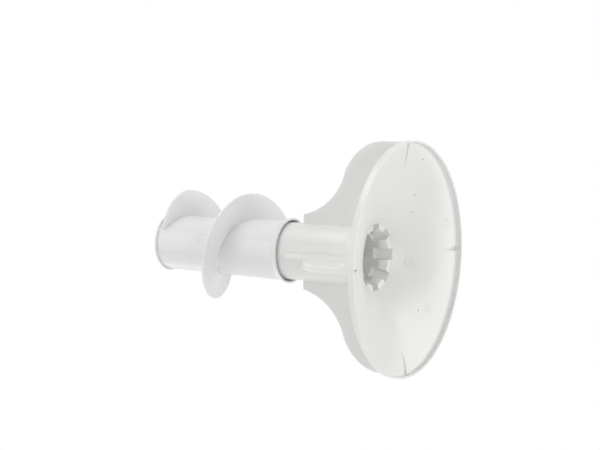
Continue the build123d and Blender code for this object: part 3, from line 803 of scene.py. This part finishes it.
def vane_grid():
    """The vane as a closed tube of sections along the helix, its root fillets running into the barrel.

    A point s of the way along lies at the angle foot - s * sweep, and its section's middle at
    foot height + half thickness + pitch * turns. The edge runs in to the barrel at both ends
    by a quarter cosine, and there fillet and edge take no more than their shares of its reach.
    """
    turn = np.linspace(0, vane_sweep, vane_sections)
    angle = vane_foot - turn
    middle = vane_foot_height + vane_root_half + vane_pitch * turn / (2 * math.pi)
    root = barrel_radius(middle)
    foot_share = np.clip(1 - turn / vane_foot_taper, 0, 1)
    tip_share = np.clip(1 - (vane_sweep - turn) / vane_tip_taper, 0, 1)
    reach = (vane_radius - root) * np.cos(quarter * np.maximum(foot_share, tip_share))
    reach = np.maximum(reach, vane_least_reach)
    fillet = np.minimum(vane_root_fillet, reach * vane_fillet_share)[:, None]
    edge = np.minimum(vane_edge_round, reach * vane_edge_share)[:, None]
    root, reach, angle, middle = (v[:, None] for v in (root, reach, angle, middle))

    def half(radius):
        """Half the vane's thickness, thinning evenly from the barrel to the edge."""
        share = (radius - root) / (vane_radius - barrel_top_radius)
        return vane_root_half + (vane_edge_half - vane_root_half) * share

    roll = np.linspace(0, quarter, vane_round_columns)[None]
    radius_fillet = root - vane_sink + fillet * (1 - np.cos(roll))
    rise_fillet = half(radius_fillet) + fillet * (1 - np.sin(roll))
    up_face = np.linspace(0, 1, vane_face_columns)[None, 1:]
    radius_face = root + fillet + (reach - fillet - edge) * up_face
    radius_edge = root + reach - edge * (1 - np.sin(roll[:, 1:]))
    rise_edge = half(radius_edge) - edge * (1 - np.cos(roll[:, 1:]))
    radius = np.hstack([root - barrel_wall / 2, radius_fillet, radius_face, radius_edge])
    rise = np.hstack([rise_fillet[:, :1], rise_fillet, half(radius_face), rise_edge])
    radius = np.hstack([radius, radius[:, ::-1]])
    rise = np.hstack([-rise, rise[:, ::-1]])
    return np.stack([radius * np.cos(angle), radius * np.sin(angle), middle + rise], axis=2)


def capped(grid):
    """A tube of sections with both of its ends drawn in to a point at the section's middle."""
    ends = [np.broadcast_to(grid[i].mean(axis=0), grid[i].shape)[None] for i in (0, -1)]
    return np.concatenate([ends[0], grid, ends[1]])


# gate mark: the dished scar that the auger's mould leaves where the melt went in
gate_angle, gate_height, gate_reach = math.radians(15.9), 0.330, 0.0045
gate_least, gate_rise = 0.00006, 0.0006


def on_barrel(x, y, h):
    """Points standing h proud of the barrel, x up the barrel and y round it from the gate mark's middle."""
    height = gate_height + x
    radius = barrel_radius(height) + h
    angle = gate_angle + y / barrel_radius(height)
    return np.stack([radius * np.cos(angle), radius * np.sin(angle), height], axis=2)


def dished_disc(share, along):
    """A disc that is dished in its middle inside a low rounded rim."""
    ridge = np.exp(-(((share - 0.78) / 0.2) ** 2))
    return (gate_least + gate_rise * ridge) * np.sqrt(np.clip(1 - share**6, 0, 1))


gate_grid = proud_mark((0.0, 0.0), (gate_reach, gate_reach), dished_disc, on_barrel)
gate_mark = net([(gate_grid, False, True)], "auger_gate_mark", sharp=50)
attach(gate_mark, "auger_sleeve")
# The gate mark's white is lifted with the auger's as painted light, a little lighter than the base's white.
gate_light, gate_dark = (0.83, 0.83, 0.83), (0.81, 0.81, 0.81)
gate_look = moulded_plastic("gate mark plastic", gate_light, gate_dark, roughness=0.21, see_through=0.0)
gate_mark.data.materials.append(gate_look)

vane = capped(vane_grid())
auger = net([(barrel, True, True), (vane, False, True)], "auger_sleeve_moulding", sharp=40)
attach(auger, "auger_sleeve")
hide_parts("auger")
# The auger's white is partly its own and partly painted light. It is lifted over the base's white to stand in
# for the brighter light on the barrel's middle.
auger_light, auger_dark = (0.84, 0.84, 0.84), (0.82, 0.82, 0.82)
auger.data.materials.append(moulded_plastic("white auger moulding", auger_light, auger_dark, roughness=0.21))

# Dust cap: a thin white moulded disc that plugs the auger's far end, with two finger pockets
# either side of a grip bar.
cap_flange_radius = 0.0425
cap_edge_top = 0.4045
cap_edge_bevel = 0.001
cap_dome_height = 0.004
cap_pocket_radius = 0.017
cap_pocket_floor = 0.4025
cap_inside_height = 0.4001
cap_wall = 0.0022
cap_plug_bottom = 0.389
cap_grip_half = 0.0035
cap_round = 0.0005
cap_under_round = 0.0004
cap_plug_gap = 0.00015
cap_plug_radius = bore(barrel_top) - cap_plug_gap
cap_inside_row_radius = 0.020
crown_radii = np.linspace(0.0185, 0.0405, 9)
bar_end_columns, pocket_columns = 4, 33


def dome(radius):
    """Height of the cap's crown, a shallow parabola."""
    return cap_edge_top + cap_dome_height * (1 - (radius / cap_flange_radius) ** 2)


def cap_grid():
    """Rows from the grip bar's middle line, through the pockets, over the crown and down inside the plug.

    Columns at the pockets go over the bar's edge, down its wall, across the floor and up the round
    wall; columns at the bar's ends stay level.
    """
    bar = math.asin(cap_grip_half / cap_pocket_radius)
    side = np.r_[
        np.linspace(0, bar, bar_end_columns),
        np.linspace(bar, math.pi - bar, pocket_columns),
        np.linspace(math.pi - bar, math.pi, bar_end_columns),
    ]
    side_pocket = np.repeat((False, True, False), (bar_end_columns, pocket_columns, bar_end_columns))
    angles = np.r_[side, -side[-2:0:-1]]
    pocket = np.r_[side_pocket, side_pocket[-2:0:-1]]
    x, y = cap_pocket_radius * np.cos(angles), cap_pocket_radius * np.sin(angles)
    bar_y = np.clip(y, -cap_grip_half, cap_grip_half)
    bar_top = dome(np.hypot(x, bar_y))
    pocket_top = dome(cap_pocket_radius)
    grow = 1 + cap_round / cap_pocket_radius
    places = [
        (x, 0 * y, dome(abs(x))),
        (x, bar_y * (1 - cap_round / cap_grip_half), bar_top),
        (x, bar_y, bar_top - cap_round * pocket),
        (x, bar_y, np.where(pocket, cap_pocket_floor, bar_top)),
        (x, y, np.where(pocket, cap_pocket_floor, pocket_top)),
        (x, y, pocket_top - cap_round * pocket),
        (x * grow, y * grow, 0 * x + dome(cap_pocket_radius * grow)),
    ]
    middle = np.array([np.stack(place, axis=1) for place in places])
    crown = [(r, dome(r)) for r in crown_radii]
    under = rounded(
        [
            crown[-1],
            (cap_flange_radius - cap_edge_bevel, cap_edge_top),
            (cap_flange_radius, cap_edge_top - cap_edge_bevel),
            (cap_flange_radius, barrel_top),
            (cap_plug_radius, barrel_top),
            (cap_plug_radius, cap_plug_bottom),
            (cap_plug_radius - cap_wall, cap_plug_bottom),
            (cap_plug_radius - cap_wall, cap_inside_height),
            (cap_inside_row_radius, cap_inside_height),
        ],
        cap_under_round,
    )
    around = crown[:-1] + [tuple(p) for p in under] + [(0.0, cap_inside_height)]
    return np.concatenate([middle, turned(around, angles)])


dust_cap = net([(cap_grid(), False, True)], "auger_end_cap", sharp=35)
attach(dust_cap, "auger_sleeve")
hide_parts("dust_cap")
cap_light, cap_dark = (0.80, 0.80, 0.79), (0.78, 0.78, 0.77)
cap_look = moulded_plastic("white cap moulding", cap_light, cap_dark, roughness=0.24)
dust_cap.data.materials.append(cap_look)

# Bearings: a pale acetal guide ring on the column's shoulder, seen as a thin line inside the auger's lip, and
# a dark nylon thrust washer on the neck's upper shoulder. The guide ring's pale tone is partly the acetal's
# own and partly painted light that fills the shaded gap under the lip. Both are pushed in by hand.
# painted light: the guide ring is kept pale so that the shaded gap under the auger's lip reads mid-grey, not
# black
bearing_acetal = moulded_plastic(
    "natural acetal bearing",
    (0.74, 0.73, 0.69),
    (0.68, 0.67, 0.62),
    roughness=0.42,
    see_through=0.15,
    grain_scale=1400.0,
    grain_depth=0.00001,
    flow_scale=30.0,
)
washer_nylon = moulded_plastic(
    "dark filled nylon",
    (0.24, 0.24, 0.25),
    (0.19, 0.19, 0.20),
    roughness=0.55,
    see_through=0.0,
    grain_scale=2200.0,
    flow_scale=60.0,
)


def finish_node(node, material):
    """A CAD node that stays as it is gets this one material."""
    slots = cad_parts[node].data.materials
    slots.clear()
    slots.append(material)


finish_node("lower_bearing", bearing_acetal)
finish_node("thrust_washer", washer_nylon)

# Clutch: a black nylon cam keyed to the neck, four pale acetal dogs in its pockets, and a pale
# moulded retainer ring that snaps into the auger's groove above them.
clutch_grain = {"grain_scale": 1400.0, "flow_scale": 40.0}
cam_nylon = moulded_plastic(
    "black cam nylon",
    (0.14, 0.14, 0.15),
    (0.10, 0.10, 0.11),
    roughness=0.45,
    see_through=0.0,
    **clutch_grain,
)
retainer_acetal = moulded_plastic(
    "pale retainer acetal",
    (0.71, 0.71, 0.69),
    (0.65, 0.65, 0.63),
    roughness=0.4,
    see_through=0.15,
    **clutch_grain,
)
dog_acetal = moulded_plastic(
    "natural dog acetal",
    (0.80, 0.79, 0.75),
    (0.74, 0.73, 0.68),
    roughness=0.38,
    see_through=0.15,
    **clutch_grain,
)
finish_node("clutch_cam", cam_nylon)
finish_node("clutch_retainer", retainer_acetal)
for number in range(1, 5):
    finish_node(f"dog_{number}", dog_acetal)

# Barrier cap: a blue-grey moulded plug that keeps water off the mounting bolt, with a black
# nitrile ring in its groove. It is pressed into the cam's bore.
barrier_plastic = moulded_plastic(
    "blue-grey barrier plastic",
    (0.22, 0.30, 0.43),
    (0.18, 0.25, 0.38),
    roughness=0.35,
    see_through=0.1,
    grain_scale=1000.0,
    flow_scale=30.0,
)
nitrile = moulded_plastic(
    "black nitrile",
    (0.035, 0.035, 0.035),
    (0.022, 0.022, 0.022),
    roughness=0.6,
    see_through=0.0,
    grain_scale=3000.0,
    grain_depth=0.00003,
    flow_scale=90.0,
)
finish_node("inner_cap", barrier_plastic)
finish_node("inner_cap_seal", nitrile)
finish_node("bolt_seal", nitrile)

# Mounting bolt: a zinc-plated hexagon bolt and its washer, screwed through the web into the
# drive shaft from above, with a nitrile ring under the washer.


def plated_steel(name):
    """Zinc-plated steel: fine turned rings round the bolt's axis and a cloudy, faintly blue plating."""
    material = bpy.data.materials.new(name)
    material.use_nodes = True
    nodes, links = material.node_tree.nodes, material.node_tree.links
    skin = nodes["Principled BSDF"]
    grain = nodes.new("ShaderNodeGroup")
    grain.node_tree = moulded_grain
    grain.inputs["Grain scale"].default_value = 2600.0
    grain.inputs["Grain depth"].default_value = 0.000008
    grain.inputs["Flow scale"].default_value = 120.0
    place = nodes.new("ShaderNodeTexCoord")
    turning = nodes.new("ShaderNodeTexWave")
    turning.wave_type = "RINGS"
    turning.rings_direction = "Z"
    turning.inputs["Scale"].default_value = 700.0
    turning.inputs["Distortion"].default_value = 1.5
    cut = nodes.new("ShaderNodeBump")
    cut.inputs["Distance"].default_value = 0.00001
    plating = nodes.new("ShaderNodeValToRGB")
    plating.color_ramp.elements[0].color = (0.58, 0.58, 0.57, 1)
    plating.color_ramp.elements[1].color = (0.66, 0.67, 0.69, 1)
    dull = nodes.new("ShaderNodeMapRange")
    dull.inputs["To Min"].default_value = 0.29
    dull.inputs["To Max"].default_value = 0.42
    links.new(place.outputs["Object"], turning.inputs["Vector"])
    links.new(turning.outputs["Fac"], cut.inputs["Height"])
    links.new(grain.outputs["Normal"], cut.inputs["Normal"])
    links.new(cut.outputs["Normal"], skin.inputs["Normal"])
    links.new(grain.outputs["Flow"], plating.inputs["Fac"])
    links.new(plating.outputs["Color"], skin.inputs["Base Color"])
    links.new(grain.outputs["Flow"], dull.inputs["Value"])
    links.new(dull.outputs["Result"], skin.inputs["Roughness"])
    skin.inputs["Metallic"].default_value = 1.0
    return material


steel = plated_steel("zinc-plated steel")
finish_node("mounting_bolt", steel)
finish_node("bolt_washer", steel)

# Studio light: a soft white world that the camera and gloss see at full white, large lamps all
# round, and a pale floor that only the camera sees, from above, and that fades out away from the part.
world = bpy.data.worlds.new("studio")
bpy.context.scene.world = world
world.use_nodes = True
nodes, links = world.node_tree.nodes, world.node_tree.links
shine = nodes["Background"]
shine.inputs["Color"].default_value = (1, 1, 1, 1)
rays = nodes.new("ShaderNodeLightPath")
seen = nodes.new("ShaderNodeMath")
seen.operation = "MAXIMUM"
seen_in_gloss = nodes.new("ShaderNodeMath")
seen_in_gloss.operation = "MAXIMUM"
links.new(rays.outputs["Is Camera Ray"], seen.inputs[0])
links.new(rays.outputs["Is Transmission Ray"], seen.inputs[1])
links.new(seen.outputs["Value"], seen_in_gloss.inputs[0])
links.new(rays.outputs["Is Glossy Ray"], seen_in_gloss.inputs[1])
strength = nodes.new("ShaderNodeMapRange")
strength.inputs["To Min"].default_value = 0.46
strength.inputs["To Max"].default_value = 1.0
links.new(seen_in_gloss.outputs["Value"], strength.inputs["Value"])
links.new(strength.outputs["Result"], shine.inputs["Strength"])

lamp_aim = Vector((0, 0, 0.1))


def soft_lamp(name, place, size, power):
    """A square area lamp that points at the part."""
    data = bpy.data.lights.new(name, "AREA")
    data.size = size
    data.energy = power
    lamp = bpy.data.objects.new(name, data)
    bpy.context.collection.objects.link(lamp)
    turn = (lamp_aim - Vector(place)).to_track_quat("-Z", "Y").to_matrix().to_4x4()
    lamp.matrix_world = Matrix.Translation(place) @ turn


soft_lamp("lamp under the mouth", (2.0, 0.2, -4.1), size=3.2, power=68)
soft_lamp("lamp on the right", (1.0, 4.2, 0.9), size=3.2, power=76)
soft_lamp("lamp on the left", (0.8, -4.2, -0.1), size=3.6, power=68)
soft_lamp("lamp high in front", (3.2, 0.4, 3.3), size=4.0, power=44)
soft_lamp("lamp in front", (4.6, 1.0, 1.3), size=2.0, power=8)
soft_lamp("lamp low behind", (-3.2, 0.4, -3.3), size=2.8, power=48)
soft_lamp("lamp above", (-1.0, -0.6, 4.3), size=5.6, power=52)

half_floor = 4.0
floor_fade_start = 0.9
floor_fade_end = 3.0
floor_height = -0.0004
floor_mesh = bpy.data.meshes.new("floor")
floor_mesh.from_pydata(
    [(x * half_floor, y * half_floor, floor_height) for x, y in ((-1, -1), (1, -1), (1, 1), (-1, 1))],
    [],
    [(0, 1, 2, 3)],
)
floor = bpy.data.objects.new("floor", floor_mesh)
bpy.context.collection.objects.link(floor)
pale = bpy.data.materials.new("pale floor")
pale.use_nodes = True
nodes, links = pale.node_tree.nodes, pale.node_tree.links
skin = nodes["Principled BSDF"]
skin.inputs["Base Color"].default_value = (0.93, 0.93, 0.93, 1)
skin.inputs["Roughness"].default_value = 0.9
skin.inputs["Specular IOR Level"].default_value = 0.1
clear = nodes.new("ShaderNodeBsdfTransparent")
mix = nodes.new("ShaderNodeMixShader")
rays = nodes.new("ShaderNodeLightPath")
facing = nodes.new("ShaderNodeNewGeometry")
front = nodes.new("ShaderNodeMath")
front.operation = "SUBTRACT"
front.use_clamp = True
links.new(rays.outputs["Is Camera Ray"], front.inputs[0])
links.new(facing.outputs["Backfacing"], front.inputs[1])
place = nodes.new("ShaderNodeTexCoord")
distance = nodes.new("ShaderNodeVectorMath")
distance.operation = "LENGTH"
fade = nodes.new("ShaderNodeMapRange")
fade.interpolation_type = "SMOOTHSTEP"
fade.inputs["From Min"].default_value = floor_fade_start
fade.inputs["From Max"].default_value = floor_fade_end
fade.inputs["To Min"].default_value = 1.0
fade.inputs["To Max"].default_value = 0.0
shown = nodes.new("ShaderNodeMath")
shown.operation = "MULTIPLY"
links.new(place.outputs["Object"], distance.inputs[0])
links.new(distance.outputs["Value"], fade.inputs["Value"])
links.new(front.outputs["Value"], shown.inputs[0])
links.new(fade.outputs["Result"], shown.inputs[1])
links.new(shown.outputs["Value"], mix.inputs["Fac"])
links.new(clear.outputs["BSDF"], mix.inputs[1])
links.new(skin.outputs["BSDF"], mix.inputs[2])
links.new(mix.outputs["Shader"], nodes["Material Output"].inputs["Surface"])
floor_mesh.materials.append(pale)
